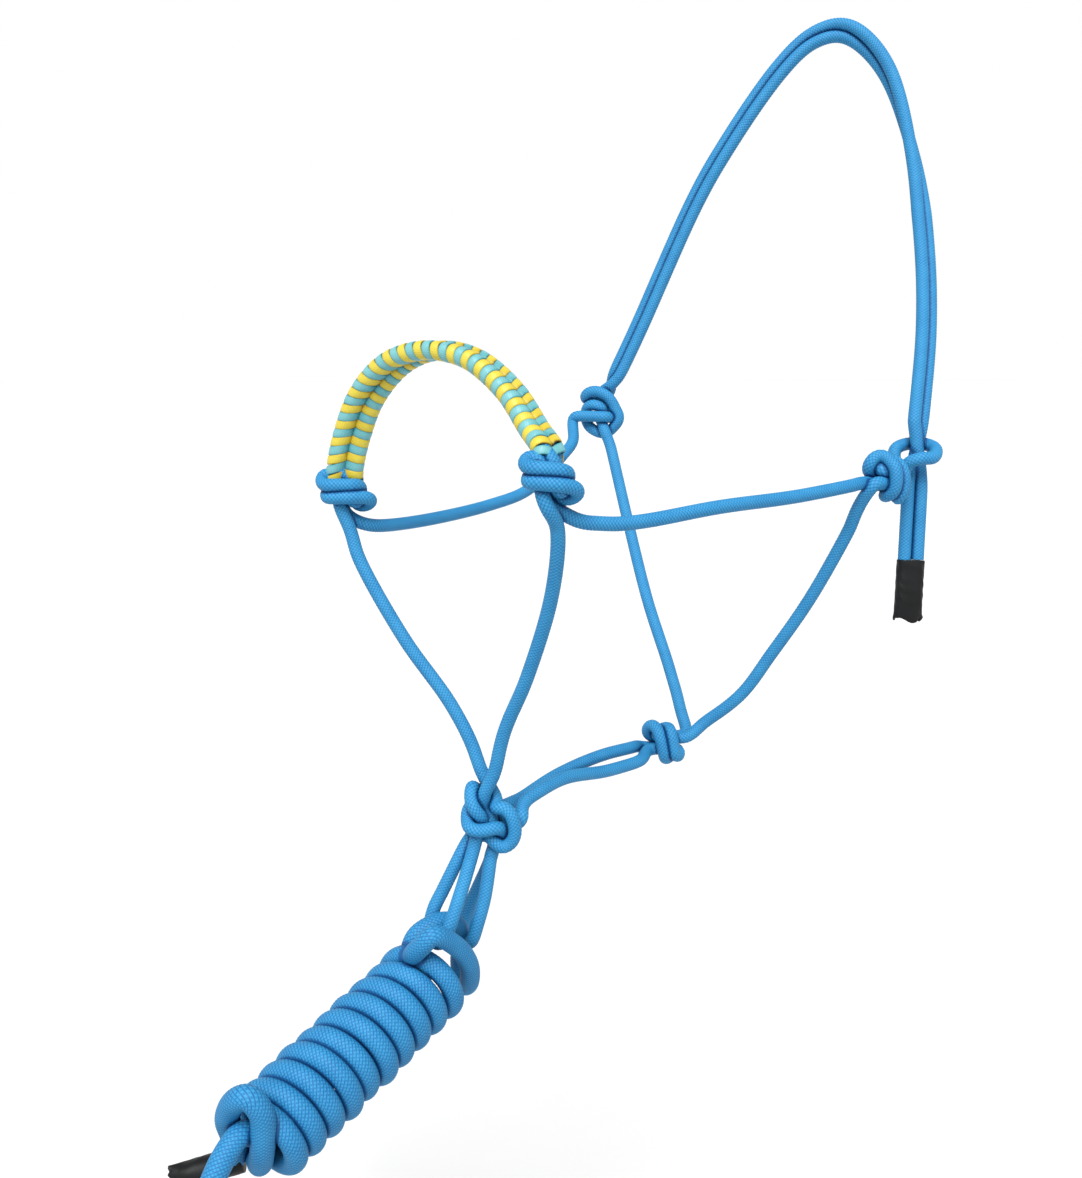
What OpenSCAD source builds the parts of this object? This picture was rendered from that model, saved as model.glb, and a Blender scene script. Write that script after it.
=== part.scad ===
// Rope halter with a wrapped noseband, and its lead rope wound into a hank.
// The horse's nose points along -X, its near (left) side is -Y, and +Z is up.
// The origin is the middle of the line between the two cheek knots.

/* [Halter rope] */
// Diameter of the halter rope
rope_d = 8; // [6:0.5:9]
// Radius of the centre line of one wrap of a knot
knot_wrap_r = 7.5; // [7:0.5:9]

/* [Noseband] */
// Distance between the centre lines of the two noseband strands
nose_pair = 8.6; // [8:0.2:10]
// Thickness of the wrapping cords over the strands
wrap_t = 1.8; // [1:0.2:2.5]
// Number of wraps of each colour
wrap_count = 23; // [15:1:24]

/* [Crown] */
// Distance between the centre lines of the two crown strands
crown_pair = 8.4; // [8:0.2:10]
// Radius of the centre line of the eye loop
eye_r = 11; // [10:0.5:12]
// Length of the sleeve on the crown's tail
tail_sleeve_l = 37; // [25:1:40]

/* [Lead rope] */
// Diameter of the lead rope
lead_d = 13; // [11:0.5:14]
// Outer diameter of the hank
hank_d = 50; // [44:1:52]
// Length of the wound part of the hank
hank_l = 137; // [120:1:150]
// Length of the sleeve on each end of the lead rope
lead_sleeve_l = 46; // [30:1:50]

/* [Hidden] */

$fn = 48;
sides = 10;         // sides of a swept strand
steps = 3;          // rings between two points of a route
clear = 0.5;        // gap between pieces on different bodies
knot_wrap_rise = rope_d * 0.52;
knot_core_h = rope_d * 1.8;
fiador_rise = rope_d * 1.06;

rope_blue = [0.20, 0.56, 0.87];
wrap_yellow = [0.95, 0.85, 0.10];
wrap_turquoise = [0.25, 0.76, 0.78];
sleeve_black = [0.12, 0.12, 0.12];

// Centres of the knots
near_nose = [-225, -65, -10];
far_nose = [-250, 90, -25];
near_cheek = [10, -115, -20];
far_cheek = [-10, 115, 20];
throat = [-60, 0, -200];
fiador = [-215, 0, -215];
eye = [35, -120, -5];

// Routes of the strands' centre lines, knot to knot
near_cheek_route = [near_nose, [-215, -68, -30], [-195, -75, -35], [-170, -82, -35], [-120, -93, -30],
    [-60, -103, -27], near_cheek];
far_cheek_route = [far_nose, [-245, 85, -42], [-230, 85, -47], [-185, 92, -47], [-130, 98, -42],
    [-90, 102, -33], [-45, 112, -8], [-25, 118, 5], far_cheek];
near_chin_route = [near_nose, [-220, -67, -38], [-212, -52, -78], [-210, -30, -125], [-212, -10, -165], fiador];
far_chin_route = [far_nose, [-250, 85, -45], [-248, 77, -68], [-235, 53, -112], [-220, 28, -150],
    [-213, 12, -182], fiador];
near_throat_route = [near_cheek, [-4, -107, -35], [-4, -98, -55], [-11, -77, -98], [-20, -55, -136],
    [-29, -37, -166], [-42, -12, -190], throat];
far_throat_route = [far_cheek, [-12, 105, 0], [-20, 77, -58], [-30, 47, -112], [-35, 20, -158], [-41, 4, -188],
    throat];
upper_link_route = [throat, [-75, 5, -200], [-115, 6, -199], [-155, 4, -201], [-190, 2, -208], fiador];
lower_link_route = [throat, [-75, -4, -205], [-118, -4, -206], [-158, -5, -202], [-190, -5, -207], fiador];
// These swing, so their routes start and end clear of the knots and of the eye.
noseband_route = [[-251, 87, -10], [-249, 81, 10], [-246, 69, 32], [-240, 49, 50], [-232, 24, 57], [-223, -1, 52],
    [-218, -26, 35], [-218, -46, 15], [-221, -60, 5]];
crown_route = [[-5, 110, 35], [10, 95, 80], [33, 68, 160], [48, 47, 205], [68, 22, 250], [83, 2, 272],
    [95, -20, 272], [103, -45, 242], [97, -70, 185], [83, -90, 125], [65, -105, 70], [41, -117, 13]];
tail_route = [[34, -121, -23], [32, -122, -48], [30, -123, -72]];

// The fiador loops hang from the bottom of the fiador knot and hold the first turn of the lead.
hitch_mid = [-237, 0, -279];
hitch_tilt = 32;            // degrees below the horizontal, towards the back
loop_spread = 9;            // from the middle of the first turn to each loop
loop_r = lead_d / 2 + rope_d / 2 + clear;
hitch_half = loop_spread + rope_d / 2 + clear + lead_d / 2;
front_leg_l = 34;
rear_leg_l = 42;

// The hank points forward and down from the first turn.
hank_tilt = 26;
hank_start = [-256, 3, -298];
hank_end = hank_start + hank_l * [-cos(hank_tilt), 0, -sin(hank_tilt)];
lead_tail_route = [[-375, 6, -352], [-388, 2, -362], [-398, 0, -380], [-402, 0, -402]];
lead_start_route = [[-372, 12, -362], [-380, 20, -368], [-388, 26, -371]];

// Radius of the centre line of one tier of the fiador knot, counted from its middle
function fiador_tier_r(tier) = rope_d * (1.9 - 0.27 * tier ^ 2);

function unit(v) = v / norm(v);

// Point at share t between b and c on the smooth curve through a, b, c and d
function curve(a, b, c, d, t) =
    0.5 * (2 * b + (c - a) * t + (2 * a - 5 * b + 4 * c - d) * t ^ 2 + (3 * b - a - 3 * c + d) * t ^ 3);

// The route with more points, on one smooth curve
function smooth(route, n = steps) =
    let (last = len(route) - 1)
    [for (i = [0:last])
        for (k = [0:(i < last ? n - 1 : 0)])
            i == last ? route[last]
            : curve(route[max(i - 1, 0)], route[i], route[i + 1], route[min(i + 2, last)], k / n)];

function tangent(path, i) = unit(path[min(i + 1, len(path) - 1)] - path[max(i - 1, 0)]);

// The path moved sideways by a; ref is a direction that the path never follows
function beside(path, a, ref) =
    [for (i = [0:len(path) - 1])
        let (t = tangent(path, i))
        path[i] + a * unit(ref - (ref * t) * t)];

// Round tube along a path
module tube(path, d, ref) {
    n = len(path);
    rings = [for (i = [0:n - 1])
        let (t = tangent(path, i), u = unit(cross(t, ref)), v = cross(t, u))
        for (k = [0:sides - 1])
            path[i] + d / 2 * (cos(360 * k / sides) * u + sin(360 * k / sides) * v)];
    walls = [for (i = [0:n - 2], k = [0:sides - 1])
        let (a = i * sides + k, b = i * sides + (k + 1) % sides)
        [a, a + sides, b + sides, b]];
    first_cap = [for (k = [0:sides - 1]) k];
    last_cap = [for (k = [sides - 1:-1:0]) (n - 1) * sides + k];
    polyhedron(rings, concat(walls, [first_cap, last_cap]), convexity = 6);
}

// Puts the children's +Z along v
module along(v) { rotate([0, acos(v.z / norm(v)), atan2(v.y, v.x)]) children(); }

module wrap(r, d) { rotate_extrude() translate([r, 0]) circle(d / 2); }

// Overhand knot of two strands: wraps side by side round a core, about the children's +Z
module overhand_knot(at, axis) {
    color(rope_blue) translate(at) along(axis) rotate_extrude() {
        for (side = [-1, 1]) translate([knot_wrap_r, side * knot_wrap_rise]) circle(rope_d / 2);
        translate([0, -knot_core_h / 2]) square([knot_wrap_r, knot_core_h]);
    }
}

// A strand that ends inside a knot at each end
module strand(route, ref) { color(rope_blue) tube(smooth(route), rope_d, ref); }

module near_nose_knot() { overhand_knot(near_nose, [0.3, 0.2, 1]); }
module far_nose_knot() { overhand_knot(far_nose, [0.1, -0.2, 1]); }
module near_cheek_knot() { overhand_knot(near_cheek, [1, -0.1, 0.3]); }
module far_cheek_knot() { overhand_knot(far_cheek, [0.3, -0.2, 1]); }
module throat_knot() { overhand_knot(throat, [-1, 0, 0]); }

// Fiador knot: tiers of wraps about a vertical axis, widest in the middle
module fiador_knot() {
    color(rope_blue) translate(fiador) rotate_extrude() {
        for (tier = [-2:2]) translate([fiador_tier_r(tier), tier * fiador_rise]) circle(rope_d / 2);
        for (tier = [0:2])
            translate([0, -tier * fiador_rise - 1])
                square([fiador_tier_r(tier), 2 * tier * fiador_rise + 2]);
    }
}

module near_cheek_strand() { strand(near_cheek_route, [0, 0, 1]); }
module far_cheek_strand() { strand(far_cheek_route, [0, 1, 0]); }
module near_chin_strand() { strand(near_chin_route, [1, 0, 0]); }
module far_chin_strand() { strand(far_chin_route, [1, 0, 0]); }
module near_throat_strand() { strand(near_throat_route, [1, 0, 0]); }
module far_throat_strand() { strand(far_throat_route, [1, 0, 0]); }
module upper_link_strand() { strand(upper_link_route, [0, 0, 1]); }
module lower_link_strand() { strand(lower_link_route, [0, 0, 1]); }

// The eye lies nearly flat beside its knot, and the crown comes down through it.
module eye_loop() { color(rope_blue) translate(eye) rotate([10, 20, 0]) wrap(eye_r, rope_d); }

eye_axis = unit([0.35, 0.1, 1]);
module strands_in_eye() {
    color(rope_blue) for (side = [-1, 1])
        translate(eye + side * rope_d / 2 * unit([-0.3, 1, 0])) along(eye_axis)
            cylinder(d = rope_d, h = 22, center = true);
}

// Noseband: two strands side by side, wound over by two cords in turn
nose_path = smooth(noseband_route, 4);
module noseband_strand(side) {
    color(rope_blue) tube(beside(nose_path, side * nose_pair / 2, [1, 0, 0]), rope_d, [1, 0, 0]);
}
module noseband_front_strand() { noseband_strand(-1); }
module noseband_back_strand() { noseband_strand(1); }

module pair_outline(r, half) {
    for (side = [-1, 1]) translate([side * half, 0]) circle(r);
    square([2 * half, 2 * r], center = true);
}

// Every second band of the noseband, starting with the first or the second
module noseband_wrap(first) {
    n = len(nose_path);
    pitch = (n - 2) / (2 * wrap_count);
    width = 4.6;
    for (band = [first:2:2 * wrap_count - 1]) {
        at = 0.5 + band * pitch + pitch / 2;
        i = floor(at);
        here = nose_path[i] + (at - i) * (nose_path[i + 1] - nose_path[i]);
        t = unit(nose_path[i + 1] - nose_path[i]);
        u = unit([1, 0, 0] - t.x * t);
        v = cross(t, u);
        multmatrix([[u.x, v.x, t.x, here.x], [u.y, v.y, t.y, here.y], [u.z, v.z, t.z, here.z]])
            linear_extrude(width, center = true) difference() {
                pair_outline(rope_d / 2 + wrap_t, nose_pair / 2);
                pair_outline(rope_d / 2 + 0.05, nose_pair / 2);
            }
    }
}
module noseband_yellow_wrap() { color(wrap_yellow) noseband_wrap(0); }
module noseband_turquoise_wrap() { color(wrap_turquoise) noseband_wrap(1); }

// Crown: the two strands lie in the plane of the arch up to its top, and then
// turn a quarter turn about each other on the way down to the eye.
crown_path = smooth(crown_route, 4);
crown_across = unit([0.75, 0.65, -0.1]);
function quarter(i) = 90 * max(0, min(1, (i / (len(crown_path) - 1) - 0.5) / 0.25));
function crown_side(i) =
    let (t = tangent(crown_path, i), flat = unit(crown_across - (crown_across * t) * t), out = cross(flat, t))
    cos(quarter(i)) * out + sin(quarter(i)) * flat;
module crown_strand(side) {
    path = [for (i = [0:len(crown_path) - 1]) crown_path[i] + side * crown_pair / 2 * crown_side(i)];
    color(rope_blue) tube(path, rope_d, crown_across);
}
module crown_outer_strand() { crown_strand(1); }
module crown_inner_strand() { crown_strand(-1); }

tail_path = smooth(tail_route);
tail_across = [0.75, -0.65, 0];
module tail_strand(side) {
    color(rope_blue) tube(beside(tail_path, side * rope_d * 0.51, tail_across), rope_d, [1, 1, 0]);
}
module tail_front_strand() { tail_strand(-1); }
module tail_back_strand() { tail_strand(1); }

// Shrink sleeve that binds the two ends of the halter rope
module tail_sleeve() {
    t = tangent(tail_path, len(tail_path) - 1);
    u = unit(tail_across - (tail_across * t) * t);
    v = cross(t, u);
    top = tail_path[len(tail_path) - 1];
    color(sleeve_black) multmatrix([[u.x, v.x, t.x, top.x], [u.y, v.y, t.y, top.y], [u.z, v.z, t.z, top.z]])
        linear_extrude(tail_sleeve_l) pair_outline(rope_d / 2 + 0.8, rope_d / 2);
}

// Places the children in the frame of the lead's first turn: +Z along the rope,
// +X down, away from the fiador knot
module hitch_frame() { translate(hitch_mid) rotate([0, 90 + hitch_tilt, 0]) children(); }

// One fiador loop: half a ring under the lead's first turn, and two legs up to the knot
module fiador_loop(side, leg_l) {
    color(rope_blue) hitch_frame() translate([0, 0, side * loop_spread]) {
        rotate([0, 0, -90]) rotate_extrude(angle = 180) translate([loop_r, 0]) circle(rope_d / 2);
        for (leg = [-1, 1]) translate([0, leg * loop_r, 0]) rotate([0, -90, 0]) cylinder(d = rope_d, h = leg_l);
    }
}
module front_fiador_loop() { fiador_loop(-1, front_leg_l); }
module rear_fiador_loop() { fiador_loop(1, rear_leg_l); }

// First turn of the lead, through both fiador loops and down to the hank
module lead_hitch() {
    color(rope_blue) hitch_frame() {
        cylinder(d = lead_d, h = 2 * hitch_half, center = true);
        for (side = [-1, 1]) translate([0, 0, side * hitch_half]) {
            sphere(lead_d / 2);
            rotate([0, 90, 0]) cylinder(d = lead_d, h = 18);
        }
    }
}

module lead_hank() {
    color(rope_blue) translate(hank_start) along(hank_end - hank_start) cylinder(d = hank_d, h = hank_l);
}

module lead_end(route) { color(rope_blue) tube(smooth(route), lead_d, [0, 1, 0]); }
module lead_end_sleeve(route) {
    last = len(route) - 1;
    color(sleeve_black) translate(route[last]) along(route[last] - route[last - 1])
        cylinder(d = lead_d + 1.6, h = lead_sleeve_l);
}
module lead_tail() { lead_end(lead_tail_route); }
module lead_tail_sleeve() { lead_end_sleeve(lead_tail_route); }
module lead_start() { lead_end(lead_start_route); }
module lead_start_sleeve() { lead_end_sleeve(lead_start_route); }

near_nose_knot();
far_nose_knot();
near_cheek_knot();
far_cheek_knot();
throat_knot();
fiador_knot();
near_cheek_strand();
far_cheek_strand();
near_chin_strand();
far_chin_strand();
near_throat_strand();
far_throat_strand();
upper_link_strand();
lower_link_strand();
eye_loop();
strands_in_eye();
noseband_front_strand();
noseband_back_strand();
noseband_yellow_wrap();
noseband_turquoise_wrap();
crown_outer_strand();
crown_inner_strand();
tail_front_strand();
tail_back_strand();
tail_sleeve();
front_fiador_loop();
rear_fiador_loop();
lead_hitch();
lead_hank();
lead_tail();
lead_tail_sleeve();
lead_start();
lead_start_sleeve();
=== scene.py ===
"""Rope halter with a wrapped noseband, and its lead rope wound into a hank.

The halter is drawn as one braided rope that runs through all of its knots, and the
lead as one rope of real turns. Routes are written in millimetres, and turned into
metres by metres(). The nose points along -X, the near side is -Y.
"""

import math

import bpy
import numpy as np
from mathutils import Matrix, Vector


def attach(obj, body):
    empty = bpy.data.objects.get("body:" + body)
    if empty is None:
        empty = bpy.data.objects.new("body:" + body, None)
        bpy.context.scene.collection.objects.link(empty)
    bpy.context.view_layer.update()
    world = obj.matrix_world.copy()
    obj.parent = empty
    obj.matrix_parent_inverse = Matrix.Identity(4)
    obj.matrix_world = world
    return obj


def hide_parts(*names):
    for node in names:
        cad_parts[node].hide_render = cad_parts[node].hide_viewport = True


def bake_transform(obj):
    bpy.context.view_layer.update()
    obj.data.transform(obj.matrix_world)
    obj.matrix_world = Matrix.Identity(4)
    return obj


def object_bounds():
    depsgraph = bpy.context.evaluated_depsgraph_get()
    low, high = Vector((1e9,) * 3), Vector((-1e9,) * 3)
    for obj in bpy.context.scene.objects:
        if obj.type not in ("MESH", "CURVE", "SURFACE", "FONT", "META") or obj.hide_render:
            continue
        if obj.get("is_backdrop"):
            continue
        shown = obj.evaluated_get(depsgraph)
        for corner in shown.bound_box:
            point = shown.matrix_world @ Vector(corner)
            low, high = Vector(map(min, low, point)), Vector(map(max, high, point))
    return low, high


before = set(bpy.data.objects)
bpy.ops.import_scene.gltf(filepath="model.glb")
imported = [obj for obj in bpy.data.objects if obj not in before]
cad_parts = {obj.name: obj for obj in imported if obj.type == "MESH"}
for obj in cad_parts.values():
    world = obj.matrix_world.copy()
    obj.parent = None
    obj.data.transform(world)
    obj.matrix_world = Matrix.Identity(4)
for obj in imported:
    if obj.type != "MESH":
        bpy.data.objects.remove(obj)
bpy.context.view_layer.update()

MM = 0.001

# ---------------------------------------------------------------- camera

# Fitted to where the knots are in the photo
CAMERA_AT = (-0.6495, -0.5345, 0.0400)
CAMERA_AZIMUTH = -41.75
CAMERA_ELEVATION = 9.69
CAMERA_ROLL = -0.19
CAMERA_LENS = 37.23


def camera_axes(azimuth, elevation, roll=0.0):
    """Right, up and back (towards the viewer) of a camera that looks along an azimuth, angled down."""
    a, e, r = (math.radians(x) for x in (azimuth, elevation, roll))
    back = np.array([math.sin(a) * math.cos(e), -math.cos(a) * math.cos(e), math.sin(e)])
    right = np.array([math.cos(a), math.sin(a), 0.0])
    up = np.cross(back, right)
    return (
        math.cos(r) * right + math.sin(r) * up,
        -math.sin(r) * right + math.cos(r) * up,
        back,
    )


def make_camera():
    camera = bpy.data.objects.new("camera", bpy.data.cameras.new("camera"))
    bpy.context.scene.collection.objects.link(camera)
    right, up, back = camera_axes(CAMERA_AZIMUTH, CAMERA_ELEVATION, CAMERA_ROLL)
    camera.matrix_world = Matrix(
        [[right[k], up[k], back[k], CAMERA_AT[k]] for k in range(3)] + [[0, 0, 0, 1]]
    )
    camera.data.sensor_width = 36
    camera.data.lens = CAMERA_LENS
    camera.data.clip_start = 0.01
    camera.data.clip_end = 1000
    bpy.context.scene.camera = camera


make_camera()
RIGHT, UP, NEAR = camera_axes(CAMERA_AZIMUTH, CAMERA_ELEVATION)

# ---------------------------------------------------------------- sizes and routes

# These repeat the CAD part, apart from three that follow the photo more closely: the
# number of wraps (23 in the CAD part), the gap between the crown's strands (8.4 mm
# there), and the link strands' last points before the fiador knot.

ROPE_D = 8 * MM
NOSE_PAIR = 8.6 * MM
WRAP_COUNT = 21
CROWN_PAIR = 7.8 * MM
TAIL_SLEEVE_L = 37 * MM
LEAD_D = 13 * MM
LEAD_SLEEVE_L = 46 * MM


def metres(points):
    return np.array(points, float) * MM


near_nose = [-225, -65, -10]
far_nose = [-250, 90, -25]
near_cheek = [10, -115, -20]
far_cheek = [-10, 115, 20]
throat = [-60, 0, -200]
fiador = [-215, 0, -215]
eye = [35, -120, -5]

near_cheek_route = metres([near_nose, [-215, -68, -30], [-195, -75, -35], [-170, -82, -35],
                           [-120, -93, -30], [-60, -103, -27], near_cheek])
far_cheek_route = metres([far_nose, [-245, 85, -42], [-230, 85, -47], [-185, 92, -47], [-130, 98, -42],
                          [-90, 102, -33], [-45, 112, -8], [-25, 118, 5], far_cheek])
near_chin_route = metres([near_nose, [-220, -67, -38], [-212, -52, -78], [-210, -30, -125],
                          [-212, -10, -165], fiador])
far_chin_route = metres([far_nose, [-250, 85, -45], [-248, 77, -68], [-235, 53, -112], [-220, 28, -150],
                         [-213, 12, -182], fiador])
near_throat_route = metres([near_cheek, [-4, -107, -35], [-4, -98, -55], [-11, -77, -98],
                            [-20, -55, -136], [-29, -37, -166], [-42, -12, -190], throat])
far_throat_route = metres([far_cheek, [-12, 105, 0], [-20, 77, -58], [-30, 47, -112], [-35, 20, -158],
                           [-41, 4, -188], throat])
upper_link_route = metres([throat, [-75, 5, -200], [-115, 6, -199], [-155, 5, -203], [-188, 6, -213],
                           fiador])
lower_link_route = metres([throat, [-75, -4, -205], [-118, -4, -206], [-158, -5, -202],
                           [-191, -7, -207], fiador])
noseband_route = metres([[-251, 87, -10], [-249, 81, 10], [-246, 69, 32], [-240, 49, 50], [-232, 24, 57],
                         [-223, -1, 52], [-218, -26, 35], [-218, -46, 15], [-221, -60, 5]])
crown_route = metres([[-5, 110, 35], [10, 95, 80], [33, 68, 160], [48, 47, 205], [68, 22, 250],
                      [83, 2, 272], [95, -20, 272], [103, -45, 242], [97, -70, 185], [83, -90, 125],
                      [65, -105, 70], [41, -117, 13]])
tail_route = metres([[34, -121, -23], [32, -122, -48], [30, -123, -72]])

KNOTS = {
    name: np.array(at, float) * MM
    for name, at in dict(
        near_nose=near_nose, far_nose=far_nose, near_cheek=near_cheek,
        far_cheek=far_cheek, throat=throat, fiador=fiador, eye=eye,
    ).items()
}

# ---------------------------------------------------------------- paths


def unit(v):
    v = np.asarray(v, float)
    return v / np.linalg.norm(v, axis=-1, keepdims=True)


def smooth(route, n=8):
    """The route with n points for each of its stretches, on one smooth curve through its points."""
    p = np.asarray(route, float)
    p = np.vstack([p[:1], p, p[-1:]])
    t = (np.arange(n) / n)[:, None]
    parts = [
        0.5 * (2 * b + (c - a) * t + (2 * a - 5 * b + 4 * c - d) * t**2 + (3 * b - a - 3 * c + d) * t**3)
        for a, b, c, d in zip(p, p[1:], p[2:], p[3:])
    ]
    return np.vstack(parts + [p[-1:]])


def distances(path):
    """Distance along the path to each of its points."""
    return np.concatenate([[0], np.cumsum(np.linalg.norm(np.diff(path, axis=0), axis=1))])


def at_distances(path, wanted):
    s = distances(path)
    return np.stack([np.interp(wanted, s, path[:, k]) for k in range(3)], 1)


def even(path, n):
    """The path as n points at equal distances."""
    return at_distances(path, np.linspace(0, distances(path)[-1], n))


def tangents(path):
    return unit(np.gradient(path, axis=0))


def beside(path, a, ref):
    """The path moved sideways by a, towards ref."""
    t = tangents(path)
    ref = np.asarray(ref, float)
    return path + a * unit(ref - (t @ ref)[:, None] * t)


def soften(path, rounds, weight=1.0):
    """The path with its kinks smoothed out where weight isn't 0; its ends stay."""
    path = path.copy()
    for _ in range(rounds):
        path[1:-1] += 0.25 * weight * (path[:-2] - 2 * path[1:-1] + path[2:])
    return path


def frames(path, first_side=(0, 0, 1)):
    """Tangent and two sides at each point, carried along the path without twist."""
    t = tangents(path)
    side = np.zeros_like(path)
    u = np.asarray(first_side, float)
    if abs(u @ t[0]) > 0.9:
        u = np.array([1.0, 0, 0])
    for i, along in enumerate(t):
        u = u - (u @ along) * along
        u = u / math.sqrt(u @ u)
        side[i] = u
    return t, side, np.cross(t, side)


# ---------------------------------------------------------------- meshes


def tube_faces(rings, around):
    i = np.arange(rings - 1)[:, None] * around
    k = np.arange(around)[None, :]
    n = (k + 1) % around
    return np.stack([i + k, i + n, i + around + n, i + around + k], -1).reshape(-1, 4)


class Shell:
    """Collects closed tubes, and makes them one mesh object with its attributes."""

    def __init__(self):
        self.points, self.quads, self.fans, self.uvs, self.relief = [], [], [], [], []
        self.count = 0

    def add(self, rings, uv, relief):
        """rings is (n, m, 3), uv is (n, m + 1, 2) for its corners, relief is (n, m), the value the
        materials turn into painted shade and painted highlight.
        """
        n, m = rings.shape[:2]
        self.points.append(rings.reshape(-1, 3))
        self.relief.append(relief.reshape(-1))
        self.quads.append(tube_faces(n, m) + self.count)
        corners = np.stack([uv[:-1, :-1], uv[:-1, 1:], uv[1:, 1:], uv[1:, :-1]], 2)
        self.uvs.append(corners.reshape(-1, 2))
        middles = rings[[0, -1]].mean(1)
        self.points.append(middles)
        self.relief.append(np.zeros(2))
        base = self.count + n * m
        k = np.arange(m)
        first = np.stack([np.full(m, base), self.count + (k + 1) % m, self.count + k], 1)
        last_ring = self.count + (n - 1) * m
        last = np.stack([np.full(m, base + 1), last_ring + k, last_ring + (k + 1) % m], 1)
        self.fans += [first, last]
        self.count = base + 2

    def make(self, name, material):
        points = np.concatenate(self.points)
        quads = np.concatenate(self.quads)
        fans = np.concatenate(self.fans)
        mesh = bpy.data.meshes.new(name)
        mesh.vertices.add(len(points))
        mesh.vertices.foreach_set("co", points.astype(np.float32).ravel())
        loops = np.concatenate([quads.ravel(), fans.ravel()])
        mesh.loops.add(len(loops))
        mesh.loops.foreach_set("vertex_index", loops.astype(np.int32))
        mesh.polygons.add(len(quads) + len(fans))
        starts = np.concatenate([
            np.arange(len(quads)) * 4, len(quads) * 4 + np.arange(len(fans)) * 3,
        ])
        mesh.polygons.foreach_set("loop_start", starts.astype(np.int32))
        mesh.update(calc_edges=True)
        mesh.validate()
        layer = mesh.uv_layers.new(name="braid")
        uv = np.concatenate([np.concatenate(self.uvs), np.zeros((fans.size, 2))])
        layer.data.foreach_set("uv", uv.astype(np.float32).ravel())
        # The relief attribute: the materials paint shade where it is low and a highlight where it is
        # high
        shade = mesh.attributes.new("relief", "FLOAT", "POINT")
        shade.data.foreach_set("value", np.concatenate(self.relief).astype(np.float32))
        mesh.polygons.foreach_set("use_smooth", np.ones(len(mesh.polygons), bool))
        mesh.materials.append(material)
        obj = bpy.data.objects.new(name, mesh)
        bpy.context.scene.collection.objects.link(obj)
        return obj


class Braid:
    """A round braided rope: strands that pass over and under each other on a slant."""

    def __init__(self, diameter, plaits, plait_l, relief, per_plait=6):
        self.diameter, self.plaits, self.plait_l, self.relief = diameter, plaits, plait_l, relief
        self.around = plaits * per_plait
        self.step = plait_l / 4

    def height(self, around, along):
        """0 in the grooves between strands, and 1 on their crowns."""
        p, q = around + along, around - along
        first = (np.floor(p) + np.floor(q)) % 2 == 0
        across = np.where(first, p % 1, q % 1)
        lengthways = np.where(first, q % 1, p % 1)
        return np.sin(np.pi * across) ** 0.7 * (0.35 + 0.65 * np.sin(np.pi * lengthways))

    def touching(self, path):
        """For each point of the path, the six nearest points on other parts of the same rope."""
        every = 8
        few = path[::every]
        own = int(2 * self.diameter / (every * self.step))
        i = np.arange(len(few))
        gap = np.linalg.norm(few[:, None] - few[None], axis=2)
        gap[np.abs(i[:, None] - i[None]) <= own] = np.inf
        nearest = few[np.argsort(gap, axis=1)[:, :6]]
        return np.repeat(nearest, every, axis=0)[:len(path)]

    def add_to(self, shell, path, t, side, other, start, near, radius=None):
        """Adds the rope along the path, which starts at distance start on the whole rope.

        near is what touching() gives for the path: the rope's colour gets painted shade where it touches
        those points. radius is one value for each point, where it isn't the same all along.
        """
        n = len(path)
        share = np.arange(self.around) / self.around
        angle = 2 * np.pi * share
        around = np.tile(share * self.plaits, (n, 1))
        along = (start + np.arange(n) * self.step)[:, None] / self.plait_l
        along = along + np.zeros((1, self.around))
        height = self.height(around, along)
        r = (self.diameter / 2 if radius is None else np.asarray(radius)[:, None])
        r = r + self.relief * (height - 0.6)
        rings = (
            path[:, None]
            + (r * np.cos(angle))[..., None] * side[:, None]
            + (r * np.sin(angle))[..., None] * other[:, None]
        )
        corner_share = np.arange(self.around + 1) / self.around * self.plaits
        uv = np.stack([
            np.tile(corner_share, (n, 1)), np.tile(along[:, :1], (1, self.around + 1)),
        ], -1)
        # Painted shade: the colour is made darker where the rope comes close to its other parts
        gap = np.linalg.norm(rings[:, :, None] - near[:, None], axis=3).min(2) - self.diameter / 2
        contact_shade = np.clip(1 - gap / (2.2 * MM), 0, 1)
        # The value the materials colour by: low in the grooves and at the touches as painted shade, high
        # on the crowns as a painted highlight
        shell.add(rings, uv, height - 1.2 * contact_shade)


# ---------------------------------------------------------------- knots


def tighten(loose, diameter, rounds, pull=0.2):
    """Pulls a knot's loose passes tight: each one shortens, and where two touch they push apart."""
    n, k = 100, len(loose)
    closest = 0.86 * diameter
    p = np.concatenate([even(s, n) for s in loose])
    owner = np.repeat(np.arange(k), n)
    inner = np.tile(np.r_[0, np.ones(n - 2), 0], k)[:, None]
    i, j = np.triu_indices(k * n, 1)
    for turn in range(rounds):
        q = p.reshape(k, n, 3)
        q[:, 1:-1] += pull * (0.5 * (q[:, 2:] + q[:, :-2]) - q[:, 1:-1])
        if turn % 5 == 0:
            q = np.stack([even(x, n) for x in q])
        step = np.linalg.norm(np.diff(q, axis=1), axis=2).mean(1)
        p = q.reshape(-1, 3)
        neighbours = (owner[i] == owner[j]) & ((j - i) * step[owner[i]] < 1.45 * diameter)
        a, b = i[~neighbours], j[~neighbours]
        for _ in range(4):
            between = p[a] - p[b]
            gap = np.linalg.norm(between, axis=1)
            hit = gap < closest
            if not hit.any():
                break
            share = 0.5 * (closest - gap[hit]) / np.maximum(gap[hit], 1e-6)
            push = between[hit] * share[:, None]
            move, count = np.zeros_like(p), np.zeros(len(p))
            np.add.at(move, a[hit], push)
            np.add.at(move, b[hit], -push)
            np.add.at(count, a[hit], 1)
            np.add.at(count, b[hit], 1)
            p = p + inner * move / np.sqrt(np.maximum(count, 1))[:, None]
    return list(p.reshape(k, n, 3))


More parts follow.
